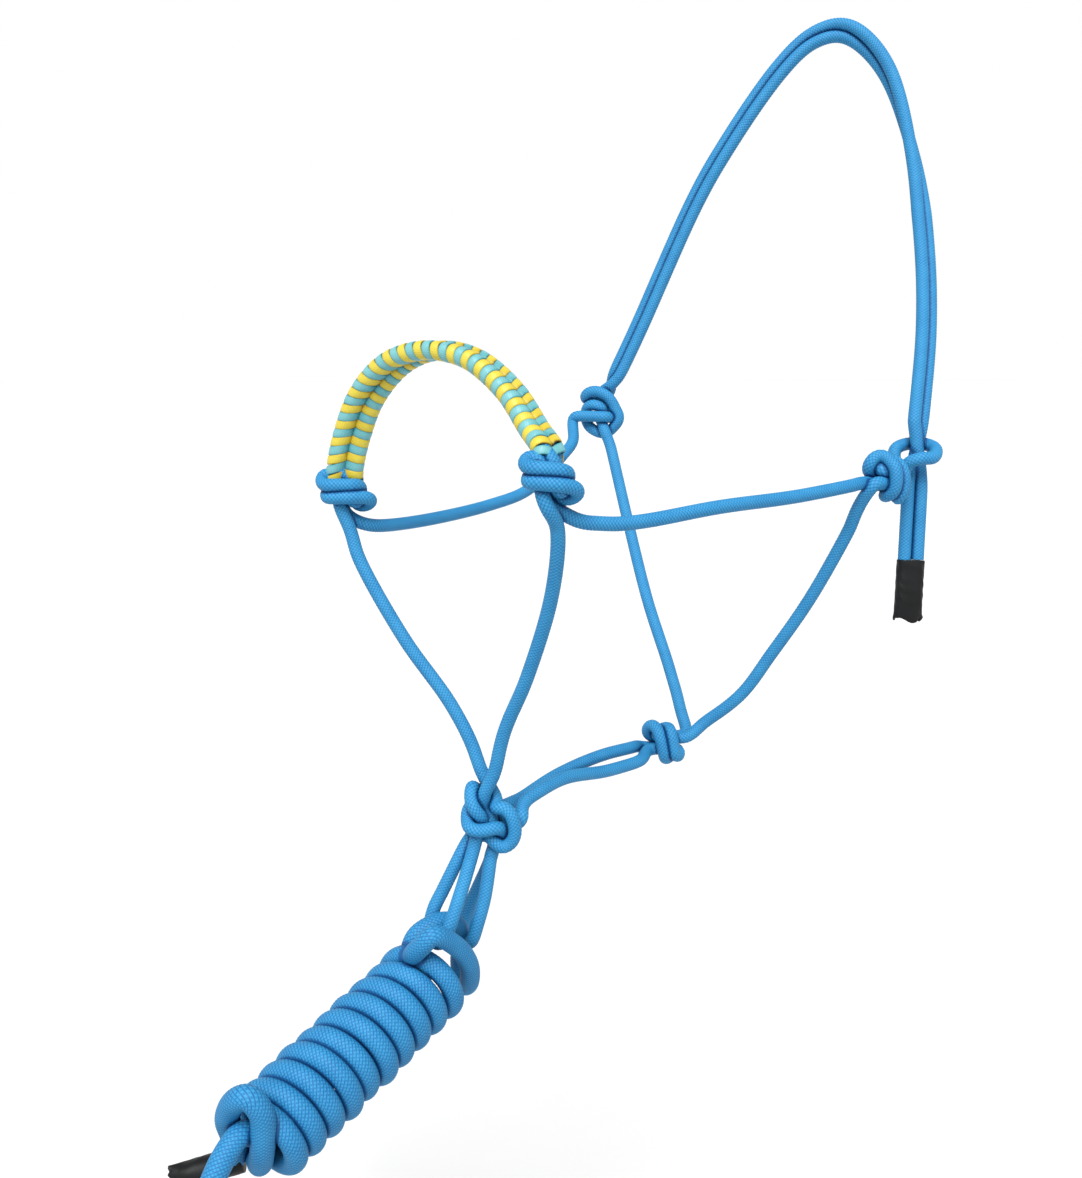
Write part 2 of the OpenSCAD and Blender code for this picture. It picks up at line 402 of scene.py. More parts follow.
def overhand(axis, front, hand, core=0.42, wrap_r=1.2):
    """Two strands through an overhand knot, in rope diameters about its middle.

    They go through its core along axis, back outside it with half a turn round it, and
    through it again. hand, 1 or -1, is the side on which they leave the core. core is how
    far each strand lies from the core's middle, and wrap_r is the radius of the half turn.
    """
    turns = 0.5
    steps = 6
    pitch = 1.6
    apart = 0.95
    reach = 1.4
    x = unit(axis)
    z = unit(np.asarray(front) - (np.asarray(front) @ x) * x)
    y = np.cross(z, x)
    a0 = math.radians(-90)
    a1 = a0 + 2 * math.pi * turns
    out = np.array([math.cos(a0), hand * math.sin(a0)])
    sideways = np.array([-out[1], out[0]])
    passes = []
    for which in (1, -1):
        go = core * which * sideways + core * out
        back = core * which * sideways - core * out
        first = apart * which / 2 + pitch * turns / 2
        points = [(-2.0, *go), (-0.8, *go), (0.6, *go)]
        points.append((reach, *(0.75 * out + 0.6 * core * which * sideways)))
        for s in range(steps + 1):
            a = a0 + 2 * math.pi * turns * s / steps
            along = first - pitch * turns * s / steps
            points.append((along, wrap_r * math.cos(a), wrap_r * hand * math.sin(a)))
        points.append((-reach, 0.55 * math.cos(a1), 0.55 * hand * math.sin(a1)))
        points += [(-0.6, *back), (0.6, *back), (2.0, *back)]
        p = np.array(points)
        passes.append(p[:, :1] * x + p[:, 2:] * y + p[:, 1:2] * z)
    return passes


def beyond(path, centre, reach):
    """The path from where it is first further than reach from centre; the path starts near centre."""
    return path[np.argmax(np.linalg.norm(path - centre, axis=1) > reach):]


def trimmed(route, start=None, end=None):
    """The smooth route without the parts within reach of its knots: start and end are (knot, reach)."""
    path = even(smooth(route), 400)
    if start:
        path = beyond(path, KNOTS[start[0]], start[1] * MM)
    if end:
        path = beyond(path[::-1], KNOTS[end[0]], end[1] * MM)[::-1]
    return path


# How far each knot reaches from its middle, where the strands start. The far cheek
# strand starts further out, and the noseband's wrapped strands nearer in.
REACH = dict(near_nose=22, far_nose=22, near_cheek=22, far_cheek=24, throat=26, fiador=27)
FAR_CHEEK_STRAND_REACH = 36
NOSEBAND_REACH = 14


def between(route, a, b):
    return trimmed(route, (a, REACH[a]), (b, REACH[b]))


strands = {
    "near_cheek_strand": between(near_cheek_route, "near_nose", "near_cheek"),
    "far_cheek_strand": trimmed(
        far_cheek_route, ("far_nose", REACH["far_nose"]), ("far_cheek", FAR_CHEEK_STRAND_REACH),
    ),
    "near_chin_strand": between(near_chin_route, "near_nose", "fiador"),
    "far_chin_strand": between(far_chin_route, "far_nose", "fiador"),
    "near_throat_strand": between(near_throat_route, "near_cheek", "throat"),
    "far_throat_strand": between(far_throat_route, "far_cheek", "throat"),
    "upper_link_strand": between(upper_link_route, "throat", "fiador"),
    "lower_link_strand": between(lower_link_route, "throat", "fiador"),
}

# Noseband: the two strands side by side, from the far nose knot to the near one
nose_path = even(
    trimmed(noseband_route, ("far_nose", NOSEBAND_REACH), ("near_nose", NOSEBAND_REACH)), 240
)


def nose_pair(points, t):
    """Half the gap between the noseband's strands, and the way it lies, at each point.

    t is the direction along the noseband. On the far side the gap opens and turns.
    """
    far = np.clip(points[:, 1:2] / (80 * MM), 0, 1)
    across = np.hstack([1 + 0 * far, -0.75 * far, 0 * far])
    return NOSE_PAIR / 2 * (1 + 0.3 * far), unit(across - (t * across).sum(1)[:, None] * t)


nose_half, nose_across = nose_pair(nose_path, tangents(nose_path))
strands["noseband_front_strand"] = nose_path - nose_half * nose_across
strands["noseband_back_strand"] = nose_path + nose_half * nose_across

# Crown: up to half its length, the two strands lie in the plane of the arch, one outside
# the other. Over the next quarter they turn a quarter turn, and stay so down to the eye.
crown_path = even(smooth(crown_route), 900)
crown_path = even(beyond(crown_path, KNOTS["far_cheek"], REACH["far_cheek"] * MM), 600)
crown_across = unit([1, -0.1, 0])
tail_across = unit([0.75, -0.65, 0])


def crown_strand(which):
    t = tangents(crown_path)
    share = np.linspace(0, 1, len(crown_path))
    flat = unit(crown_across - (t @ crown_across)[:, None] * t)
    out = np.cross(flat, t)
    turn = np.radians(90 * np.clip((share - 0.5) / 0.25, 0, 1))[:, None]
    offset = np.cos(turn) * out + np.sin(turn) * flat
    return crown_path + which * CROWN_PAIR / 2 * offset


strands["crown_outer_strand"] = crown_strand(1)
strands["crown_inner_strand"] = crown_strand(-1)

tail_path = even(smooth(tail_route), 60)
strands["tail_back_strand"] = beside(tail_path, 0.51 * ROPE_D, tail_across)
strands["tail_front_strand"] = beside(tail_path, -0.51 * ROPE_D, tail_across)

# Fiador loops: each hangs from the fiador knot and holds the lead's first turn
front_loop = metres([[-227, 2, -238], [-234, -1, -248], [-242, -4, -259], [-249, -6, -270],
                     [-252, -4, -279], [-252, 5, -283], [-249, 14, -279], [-245, 15, -268],
                     [-239, 14, -258], [-234, 12, -248], [-229, 10, -238]])
rear_loop = metres([[-215, -2, -238], [-218, -3, -250], [-222, -4, -263], [-227, -4, -276],
                    [-229, -1, -287], [-226, 8, -292], [-221, 16, -288], [-218, 17, -278],
                    [-214, 12, -263], [-211, 7, -250], [-210, 2, -239]])
strands["front_fiador_loop"] = even(smooth(front_loop), 160)
strands["rear_fiador_loop"] = even(smooth(rear_loop), 160)

# The eye loop, from the near cheek knot round the crown's strands and back, seen from
# the near side: right, up and towards the viewer from the eye's middle
eye_points = [[-14, 3, -4], [-9, 5, -8], [-1, 7, -11], [8, 6, -6], [12, 2, 1], [8, -4, 9],
              [-1, -5, 12], [-8, -8, 9], [-10, -16, 5], [-12, -24, 1]]
strands["eye_loop"] = even(
    smooth(KNOTS["eye"] + metres(eye_points) @ np.array([RIGHT, UP, NEAR])), 120
)


def knot(name, ins, outs, axis, hand, rounds=60, **shape):
    """The rope's two passes through an overhand knot, between the ends of its strands."""
    loose = [KNOTS[name] + ROPE_D * p for p in overhand(axis, NEAR, hand, **shape)]

    def misfit(order):
        return sum(
            np.linalg.norm(a - p[0]) + np.linalg.norm(b - p[-1]) for a, p, b in zip(ins, order, outs)
        )

    loose = min(loose, loose[::-1], key=misfit)
    joined = []
    for a, p, b in zip(ins, loose, outs):
        far = np.linalg.norm(p - KNOTS[name], axis=1)
        first = np.argmax(far < np.linalg.norm(a - KNOTS[name]) - 4 * MM)
        last = len(p) - np.argmax(far[::-1] < np.linalg.norm(b - KNOTS[name]) - 4 * MM)
        joined.append(smooth(np.vstack([[a], p[first:last], [b]]), 6))
    return tighten(joined, ROPE_D, rounds)


passes = {
    "near_nose": knot(
        "near_nose",
        [strands["noseband_front_strand"][-1], strands["noseband_back_strand"][-1]],
        [strands["near_chin_strand"][0], strands["near_cheek_strand"][0]],
        [-0.05, -0.2, -1], hand=-1, core=0.28,
    ),
    "far_nose": knot(
        "far_nose",
        [strands["noseband_front_strand"][0], strands["noseband_back_strand"][0]],
        [strands["far_chin_strand"][0], strands["far_cheek_strand"][0]],
        [0.1, -0.2, -1], hand=-1,
    ),
    "near_cheek": knot(
        "near_cheek",
        [strands["near_cheek_strand"][-1], strands["near_throat_strand"][0]],
        [strands["eye_loop"][0], strands["eye_loop"][-1]],
        [1, -0.1, -0.15], hand=1, rounds=35, wrap_r=1.45,
    ),
    "throat": knot(
        "throat",
        [strands["upper_link_strand"][0], strands["lower_link_strand"][0]],
        [strands["far_throat_strand"][-1], strands["near_throat_strand"][-1]],
        RIGHT, hand=1,
    ),
}


# The fiador knot's four passes, from each strand's end to the loop's leg that LOOP_ENDS
# names, in rope diameters to the right, up and towards the viewer from its middle
FIADOR_PASSES = {
    "near_chin_strand": [[0.0, 2.5, 0.6], [-0.3, 1.7, 0.4], [-0.2, 0.9, -0.2], [0.1, 0.2, -0.4],
                         [0.3, -0.6, -0.4], [0.5, -1.3, -0.9], [0.4, -2.0, -1.2]],
    "far_chin_strand": [[-0.4, 2.5, -0.6], [0.2, 2.0, -0.6], [0.6, 1.4, -0.2], [0.55, 0.75, 0.4],
                        [1.05, 0.95, 0.7], [1.65, 0.5, 0.8], [1.95, -0.3, 0.75], [2.0, -1.1, 0.6],
                        [1.65, -1.8, 0.4], [1.0, -2.05, 0.3], [0.45, -1.7, 0.2], [0.0, -1.3, -0.1],
                        [-0.8, -1.2, -0.4], [-1.5, -1.7, -0.4]],
    "upper_link_strand": [[1.8, 0.9, -1.8], [1.0, 0.5, -1.5], [0.2, 1.0, -1.5], [-0.5, 2.0, -1.0],
                          [-1.15, 2.35, -0.2], [-1.25, 1.55, 0.4], [-1.0, 0.8, 0.7], [-0.5, 0.1, 0.4],
                          [-0.5, -0.6, 0.0], [-0.8, -1.3, 0.1], [-1.0, -2.0, 0.3]],
    "lower_link_strand": [[2.2, 0.9, -1.5], [2.5, 0.45, -0.6], [2.5, -0.1, -0.1], [2.05, -0.55, -0.5],
                          [1.2, -0.5, -1.1], [0.1, 0.0, -1.4], [-1.1, 0.9, -0.9], [-1.5, 0.5, -0.2],
                          [-1.5, -0.25, 0.4], [-1.2, -0.65, 0.9], [-0.6, -0.75, 1.1], [0.2, -0.6, 1.1],
                          [0.8, -0.55, 0.8], [1.0, -0.95, 0.1], [0.7, -1.4, -0.6], [0.2, -2.1, -0.6]],
}
LOOP_ENDS = {
    "near_chin_strand": ("rear_fiador_loop", -1), "far_chin_strand": ("front_fiador_loop", -1),
    "upper_link_strand": ("front_fiador_loop", 0), "lower_link_strand": ("rear_fiador_loop", 0),
}


# The far cheek knot's two passes, from the crown's strand that CROWN_ENDS names to each
# strand, in the same way
FAR_CHEEK_PASSES = {
    "far_cheek_strand": [[0.3, 1.6, -0.4], [0.3, 0.6, -0.7], [0.6, -0.2, -0.6], [0.7, -0.8, -0.1],
                         [0.2, -0.9, 0.8], [-0.6, -0.85, 0.7], [-1.6, -0.8, 0.5], [-2.4, -0.8, 0.3],
                         [-2.6, -1.3, 0.0]],
    "far_throat_strand": [[0.8, 1.6, -0.8], [0.1, 1.1, -1.1], [-0.8, 0.9, -1.0], [-1.5, 0.9, -0.5],
                          [-1.3, 1.4, 0.1], [-0.4, 1.55, 0.5], [0.5, 1.1, 0.7], [1.15, 0.3, 0.6],
                          [1.4, -0.7, 0.4], [1.15, -1.7, 0.2], [0.4, -2.2, 0.0], [-0.5, -2.1, -0.1],
                          [-1.2, -1.5, -0.5], [-1.4, -0.5, -0.7], [-1.3, 0.2, -0.3], [-0.8, 0.35, 0.3],
                          [0.0, 0.05, 0.5], [0.5, -0.5, 0.3], [0.4, -1.3, 0.2], [0.2, -2.0, 0.7],
                          [0.4, -2.7, 0.6]],
}
CROWN_ENDS = {"far_cheek_strand": "crown_outer_strand", "far_throat_strand": "crown_inner_strand"}


def drawn_passes(name, drawn, starts, ends, rounds=30):
    """The drawn passes through a knot, from start to end, pulled tight together."""
    loose = []
    for points, start, end in zip(drawn, starts, ends):
        middle = KNOTS[name] + ROPE_D * np.array(points) @ np.array([RIGHT, UP, NEAR])
        loose.append(smooth(np.vstack([[start], middle, [end]]), 6))
    return tighten(loose, ROPE_D, rounds, pull=0.1)


passes["fiador"] = dict(zip(FIADOR_PASSES, drawn_passes(
    "fiador", FIADOR_PASSES.values(),
    [strands[name][-1] for name in FIADOR_PASSES],
    [strands[loop][end] for loop, end in LOOP_ENDS.values()],
)))
passes["far_cheek"] = drawn_passes(
    "far_cheek", FAR_CHEEK_PASSES.values(),
    [strands[name][0] for name in CROWN_ENDS.values()],
    [strands["far_cheek_strand"][-1], strands["far_throat_strand"][0]],
)

# ---------------------------------------------------------------- the halter rope, end to end

# Each stretch: what it is, and its points in the rope's own direction
route = [
    ("tail_front_strand", strands["tail_front_strand"][::-1]),
    ("crown_outer_strand", strands["crown_outer_strand"][::-1]),
    ("far_cheek_knot", passes["far_cheek"][0]),
    ("far_cheek_strand", strands["far_cheek_strand"][::-1]),
    ("far_nose_knot", passes["far_nose"][1][::-1]),
    ("noseband_back_strand", strands["noseband_back_strand"]),
    ("near_nose_knot", passes["near_nose"][1]),
    ("near_cheek_strand", strands["near_cheek_strand"]),
    ("near_cheek_knot", passes["near_cheek"][0]),
    ("eye_loop", strands["eye_loop"]),
    ("near_cheek_knot", passes["near_cheek"][1][::-1]),
    ("near_throat_strand", strands["near_throat_strand"]),
    ("throat_knot", passes["throat"][1][::-1]),
    ("lower_link_strand", strands["lower_link_strand"]),
    ("fiador_knot", passes["fiador"]["lower_link_strand"]),
    ("rear_fiador_loop", strands["rear_fiador_loop"]),
    ("fiador_knot", passes["fiador"]["near_chin_strand"][::-1]),
    ("near_chin_strand", strands["near_chin_strand"][::-1]),
    ("near_nose_knot", passes["near_nose"][0][::-1]),
    ("noseband_front_strand", strands["noseband_front_strand"][::-1]),
    ("far_nose_knot", passes["far_nose"][0]),
    ("far_chin_strand", strands["far_chin_strand"]),
    ("fiador_knot", passes["fiador"]["far_chin_strand"]),
    ("front_fiador_loop", strands["front_fiador_loop"][::-1]),
    ("fiador_knot", passes["fiador"]["upper_link_strand"][::-1]),
    ("upper_link_strand", strands["upper_link_strand"][::-1]),
    ("throat_knot", passes["throat"][0]),
    ("far_throat_strand", strands["far_throat_strand"][::-1]),
    ("far_cheek_knot", passes["far_cheek"][1][::-1]),
    ("crown_inner_strand", strands["crown_inner_strand"]),
    ("tail_back_strand", strands["tail_back_strand"]),
]
halter_braid = Braid(ROPE_D, plaits=9, plait_l=2.0 * MM, relief=0.3 * MM)


def one_rope(parts, braid):
    """The parts joined as one even path, with their joints smoothed, and where each lies on it."""
    joined = np.vstack([p for _, p in parts])
    s = distances(joined)
    firsts = np.cumsum([0] + [len(p) for _, p in parts])
    marks = np.append(s[firsts[:-1]], s[-1])
    keep = np.append(True, np.diff(s) > 1e-6)
    n = int(s[-1] / braid.step)
    at = np.arange(n + 1) * braid.step
    path = np.stack([np.interp(at, s[keep], joined[keep, k]) for k in range(3)], 1)
    joints = np.abs(at[:, None] - marks[None, 1:-1]).min(1)
    path = soften(path, 260, np.clip(1.5 - joints / (10 * MM), 0, 1)[1:-1, None])
    path = soften(path, 12)
    cuts = np.clip(np.round(marks / braid.step).astype(int), 0, n)
    return path, [(name, a, b + 1) for (name, _), a, b in zip(parts, cuts, cuts[1:])]


rope_path, cuts = one_rope(route, halter_braid)
t, side, other = frames(rope_path)
near = halter_braid.touching(rope_path)
shells = {}
HALVED = ["crown_outer_strand", "crown_inner_strand", "noseband_front_strand", "noseband_back_strand"]
for name, a, b in cuts:
    ends = [a, (a + b) // 2, b] if name in HALVED else [a, b]
    for first, last in zip(ends, ends[1:]):
        last = min(last + 1, b)
        half = ("far" if rope_path[first:last, 1].mean() > 0 else "near") if name in HALVED else ""
        shell = shells.setdefault((name, half), Shell())
        stretch = slice(first, last)
        halter_braid.add_to(
            shell, rope_path[stretch], t[stretch], side[stretch], other[stretch],
            first * halter_braid.step, near[stretch],
        )
print("halter rope: %.2f m" % distances(rope_path)[-1])

# ---------------------------------------------------------------- materials


def node(tree, kind, inputs=None, **settings):
    n = tree.nodes.new(kind)
    for key, value in settings.items():
        setattr(n, key, value)
    for key, value in (inputs or {}).items():
        if isinstance(value, bpy.types.NodeSocket):
            tree.links.new(value, n.inputs[key])
        else:
            n.inputs[key].default_value = value
    return n


def new_material(name):
    material = bpy.data.materials.new(name)
    material.use_nodes = True
    return material, material.node_tree, material.node_tree.nodes["Principled BSDF"]


def ramp(tree, factor, stops):
    n = node(tree, "ShaderNodeValToRGB", {0: factor})
    elements = n.color_ramp.elements
    while len(elements) < len(stops):
        elements.new(0.5)
    for element, (at, colour) in zip(elements, stops):
        element.position = at
        element.color = (*colour, 1)
    return n.outputs["Color"]


def maths(tree, operation, a, b=0.0):
    return node(tree, "ShaderNodeMath", {0: a, 1: b}, operation=operation).outputs[0]


def noise(tree, scale, detail):
    place = node(tree, "ShaderNodeTexCoord").outputs["Object"]
    inputs = {"Vector": place, "Scale": scale, "Detail": detail}
    return node(tree, "ShaderNodeTexNoise", inputs).outputs["Fac"]


def rope_material(name, groove_shade, body, crown, yarns=5):
    """Braided rope: painted shade in its grooves and where it touches itself, a painted highlight on its
    strands' crowns, and fine yarns along each strand of the braid.
    """
    material, tree, shader = new_material(name)
    uv = node(tree, "ShaderNodeUVMap", uv_map="braid").outputs["UV"]
    split = node(tree, "ShaderNodeSeparateXYZ", {0: uv})
    u, v = split.outputs["X"], split.outputs["Y"]
    p, q = maths(tree, "ADD", u, v), maths(tree, "SUBTRACT", u, v)
    cells = maths(tree, "ADD", maths(tree, "FLOOR", p), maths(tree, "FLOOR", q))
    odd = maths(tree, "FLOORED_MODULO", cells, 2.0)
    across = node(tree, "ShaderNodeMix", {0: odd, 2: p, 3: q}).outputs[0]
    yarn = maths(tree, "SINE", maths(tree, "MULTIPLY", across, 2 * math.pi * yarns))
    # relief is low in the grooves and where the rope touches itself, and high on the strands' crowns
    relief = node(tree, "ShaderNodeAttribute", attribute_name="relief").outputs["Fac"]
    cloudy = noise(tree, 90.0, 3.0)
    fuzz = noise(tree, 2200.0, 2.0)
    lift = maths(tree, "MULTIPLY", maths(tree, "SUBTRACT", cloudy, 0.5), 0.35)
    lift = maths(tree, "ADD", lift, maths(tree, "MULTIPLY", maths(tree, "SUBTRACT", fuzz, 0.5), 0.3))
    lift = maths(tree, "ADD", lift, maths(tree, "MULTIPLY", yarn, 0.05))
    shade = maths(tree, "ADD", relief, lift)
    # The groove colour is painted shade, and the crown colour a painted highlight
    colour = ramp(tree, shade, [(0.0, groove_shade), (0.45, body), (0.95, crown)])
    tree.links.new(colour, shader.inputs["Base Color"])
    bumps = maths(tree, "ADD", maths(tree, "MULTIPLY", yarn, 0.5), fuzz)
    bump = node(tree, "ShaderNodeBump", {"Height": bumps, "Strength": 0.35, "Distance": 0.0002})
    tree.links.new(bump.outputs[0], shader.inputs["Normal"])
    shader.inputs["Roughness"].default_value = 0.55
    shader.inputs["Specular IOR Level"].default_value = 0.25
    return material


def cord_material(name, dark, body, light):
    """A flat glossy cord: fine lengthways threads with a light slanting weave, and painted shade where
    its relief attribute is low.
    """
    material, tree, shader = new_material(name)
    uv = node(tree, "ShaderNodeUVMap", uv_map="braid").outputs["UV"]
    split = node(tree, "ShaderNodeSeparateXYZ", {0: uv})
    u, v = split.outputs["X"], split.outputs["Y"]
    threads = maths(tree, "SINE", maths(tree, "MULTIPLY", u, 2 * math.pi * 9))
    slant = maths(tree, "SINE", maths(tree, "MULTIPLY", maths(tree, "ADD", u, v), 2 * math.pi * 6))
    weave = maths(tree, "MULTIPLY", threads, slant)
    relief = node(tree, "ShaderNodeAttribute", attribute_name="relief").outputs["Fac"]
    patches = maths(tree, "MULTIPLY", maths(tree, "SUBTRACT", noise(tree, 160.0, 3.0), 0.5), 0.5)
    shade = maths(tree, "ADD", relief, patches)
    shade = maths(tree, "ADD", shade, maths(tree, "MULTIPLY", weave, 0.12))
    # The dark colour is painted shade, for the cord's edges where its turns meet and for the seams
    # between the strands
    colour = ramp(tree, shade, [(0.05, dark), (0.5, body), (1.0, light)])
    tree.links.new(colour, shader.inputs["Base Color"])
    bump = node(tree, "ShaderNodeBump", {"Height": weave, "Strength": 0.3, "Distance": 0.0001})
    tree.links.new(bump.outputs[0], shader.inputs["Normal"])
    shader.inputs["Roughness"].default_value = 0.4
    shader.inputs["Specular IOR Level"].default_value = 0.35
    return material


def sleeve_material():
    """Black shrink sleeve: fine grain, and scuffs that are lighter and rougher."""
    material, tree, shader = new_material("black_sleeve")
    grain = noise(tree, 700.0, 4.0)
    scuffs = noise(tree, 60.0, 5.0)
    colour = ramp(tree, scuffs, [
        (0.3, (0.003, 0.0033, 0.0036)),
        (0.6, (0.005, 0.0055, 0.006)),
        (0.85, (0.012, 0.0125, 0.013)),
    ])
    tree.links.new(colour, shader.inputs["Base Color"])
    rough = node(tree, "ShaderNodeMapRange", {0: scuffs, 3: 0.38, 4: 0.6}).outputs[0]
    tree.links.new(rough, shader.inputs["Roughness"])
    bump = node(tree, "ShaderNodeBump", {"Height": grain, "Strength": 0.25, "Distance": 0.0002})
    tree.links.new(bump.outputs[0], shader.inputs["Normal"])
    shader.inputs["Specular IOR Level"].default_value = 0.2
    return material


# GROOVE_SHADE_BLUE is painted shade for the grooves and where the rope touches itself; each rope's last
# colour is a painted highlight for the strands' crowns
GROOVE_SHADE_BLUE = (0.006, 0.07, 0.21)
halter_blue = rope_material("halter_rope", GROOVE_SHADE_BLUE, (0.015, 0.17, 0.38), (0.04, 0.27, 0.48))
lead_blue = rope_material("lead_rope", GROOVE_SHADE_BLUE, (0.014, 0.165, 0.37), (0.04, 0.26, 0.47), yarns=4)
# The cords' dark colours are painted shade at their edges and seams
yellow = cord_material("yellow_cord", (0.16, 0.09, 0.004), (0.44, 0.33, 0.014), (0.54, 0.45, 0.05))
turquoise = cord_material("turquoise_cord", (0.006, 0.07, 0.09), (0.055, 0.26, 0.29), (0.14, 0.37, 0.39))
black = sleeve_material()

# ---------------------------------------------------------------- lead rope

# The lead's route: its start and the turn across the hank's lower end, the turns up to
# the loops, the hitch round the loops, back down inside the turns, and out to the tail
LEAD_TURNS = 9.55
LEAD_TURN_R = 20.3
LEAD_PITCH = 12.9
LEAD_FIRST = [-258, 3, -302]
LEAD_AXIS = unit([-0.90, 0, -0.43])
LEAD_LEAN = unit([-0.94, -0.25, -0.24])
CORE_FIRST = [-262, 3, -304]
CORE_STEP = 22
start_points = [[-386, 23, -374], [-379, 18, -371], [-378, 15, -362], [-382, 12, -350],
                [-386, 8, -339], [-387, 1, -328], [-386, -6, -321], [-383, -12, -319],
                [-378, -15, -329], [-377, -13, -343], [-376, -9, -355], [-373, -1, -366],
                [-369, 9, -369], [-365, 19, -364], [-363, 23, -352], [-367, 16, -340]]
hitch_points = [[-250, 21, -309], [-253, 18, -301], [-261, 12, -294], [-269, 4, -287], [-274, -5, -279],
                [-273, -12, -272], [-269, -16, -266], [-259, -16, -272], [-248, -15, -283],
                [-240, -12, -296], [-234, -4, -311], [-230, 7, -318], [-227, 14, -308], [-227, 13, -295],
                [-232, 8, -282], [-241, 5, -274], [-252, 5, -272], [-263, 8, -277], [-268, 9, -289]]
tail_points = [[-374, 2, -350], [-384, -4, -342], [-394, -7, -346], [-403, -9, -356], [-409, -9, -370],
               [-411, -9, -385], [-411, -9, -402]]


def lead_turns():
    """The hank's turns, from the lowest up. They are square to LEAD_LEAN, not to the hank's axis."""
    up = unit(np.array([0, 0, 1.0]) - LEAD_LEAN[2] * LEAD_LEAN)
    across = np.cross(LEAD_LEAN, up)
    turn = np.linspace(LEAD_TURNS, 0, 135)[:, None]
    a = 2 * math.pi * turn + math.radians(150)
    radius = LEAD_TURN_R + 0.4 * np.sin(2.1 * turn) + 0.3 * np.sin(3.3 * turn)
    return (
        np.array(LEAD_FIRST) + LEAD_PITCH * turn * LEAD_AXIS
        + radius * (np.cos(a) * up + np.sin(a) * across)
    )


def lead_core():
    """The pass back down the middle of the turns."""
    down = CORE_STEP * np.arange(1, 6)[:, None]
    return np.array(CORE_FIRST) + down * LEAD_AXIS


lead_route = MM * np.vstack([start_points, lead_turns(), hitch_points, lead_core(), tail_points])
lead_line = even(smooth(lead_route, 6), 4000)
lead_braid = Braid(LEAD_D, plaits=15, plait_l=2.0 * MM, relief=0.3 * MM, per_plait=4)
n = int(distances(lead_line)[-1] / lead_braid.step)
lead_path = soften(at_distances(lead_line, np.arange(n + 1) * lead_braid.step), 30)

# The lead is a little thinner where it is pulled tight, most of all in the hitch
lead_radius = LEAD_D / 2 * np.interp(
    np.linspace(0, 1, n + 1),
    [0.1, 0.5, 0.7, 0.78, 0.85, 0.9, 1],
    [1, 0.98, 0.96, 0.89, 0.89, 0.97, 1],
)
shell = Shell()
lead_near = lead_braid.touching(lead_path)
lead_braid.add_to(shell, lead_path, *frames(lead_path), 0, lead_near, lead_radius)
lead = shell.make("lead_rope_braid", lead_blue)
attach(lead, "lead_rope")
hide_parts("lead_hitch", "lead_hank", "lead_tail", "lead_start")

# ---------------------------------------------------------------- sleeves


def sleeve(name, path, across, half, radius, seed):
    """A wrinkled shrink sleeve along a path, pinched flat and ragged at its open end.

    It goes over one rope, or over two that lie half to each side of the path, along across.
    """
    rings, around, folded_in = 90, 72, 30
    pinch = 0.55
    path = even(path, rings)
    t, u, v = frames(path, across)
    share = np.linspace(0, 1, rings)[:, None]
    a = 2 * np.pi * np.arange(around)[None] / around
    rng = np.random.default_rng(seed)
    wrinkle = np.zeros((rings, around))
    for _ in range(14):
        waves, long_waves = rng.integers(2, 9), rng.uniform(1, 7)
        size = rng.uniform(-1, 1)
        wrinkle += size * np.sin(waves * a + long_waves * 2 * np.pi * share + rng.uniform(0, 6))
    ragged = np.zeros(around)
    for _ in range(8):
        ragged += rng.uniform(-1, 1) * np.sin(rng.integers(2, 12) * a[0] + rng.uniform(0, 6))
    close = np.clip((share - 0.72) / 0.28, 0, 1) ** 1.5
    r = radius + 0.10 * MM * wrinkle * (0.6 + 1.6 * close)
    x = half * np.sign(np.cos(a)) * np.minimum(1, np.abs(np.cos(a)) * 4)
    x = x + r * np.cos(a) * (1 + 0.12 * close)
    y = r * np.sin(a) * (1 - (1 - pinch) * close)
    points = path[:, None] + x[..., None] * u[:, None] + y[..., None] * v[:, None]
    points += (0.9 * MM * ragged * np.clip((share - 0.85) / 0.15, 0, 1))[..., None] * t[:, None]
    middle = path[::-1][:folded_in, None]
    inside = middle + 0.86 * (points[::-1][:folded_in] - middle)
    points = np.concatenate([points, inside])
    shell = Shell()
    uv = np.zeros((len(points), around + 1, 2))
    shell.add(points, uv, np.ones(points.shape[:2]))
    piece = shell.make(name, black)
    return piece


def straight_on(path, start, end, back):
    """A straight path along the last steps of another, from start to end beyond its end.

    back is how many steps of the other path give the direction.
    """
    d = unit(path[-1] - path[-1 - back])
    return path[-1] + np.linspace(start, end, 30)[:, None] * d


SLEEVE_T = 0.7 * MM
tail_sleeve = sleeve(
    "tail_sleeve_shell", straight_on(tail_path, 0, TAIL_SLEEVE_L, back=1),
    tail_across, half=ROPE_D / 2, radius=ROPE_D / 2 + SLEEVE_T, seed=3,
)
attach(tail_sleeve, "crown_tail")
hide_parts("tail_sleeve")

lead_tail_sleeve = sleeve(
    "lead_tail_sleeve_shell", straight_on(lead_path, -8 * MM, LEAD_SLEEVE_L - 2 * MM, back=7),
    [1, 0, 0], half=0, radius=LEAD_D / 2 + SLEEVE_T, seed=5,
)
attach(lead_tail_sleeve, "lead_rope")
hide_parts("lead_tail_sleeve")
lead_start_sleeve = sleeve(
    "lead_start_sleeve_shell", straight_on(lead_path[::-1], -14 * MM, LEAD_SLEEVE_L - 22 * MM, back=8),
    [0, 0, 1], half=0, radius=LEAD_D / 2 + SLEEVE_T, seed=8,
)
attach(lead_start_sleeve, "lead_rope")
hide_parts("lead_start_sleeve")

# ---------------------------------------------------------------- noseband wraps

# The wraps reach a little way into both nose knots
WRAP_ENDS = metres([[-250, 89, -22], [-224, -64, -5]])
wrap_path = even(smooth(np.vstack([WRAP_ENDS[:1], noseband_route, WRAP_ENDS[1:]])), 300)


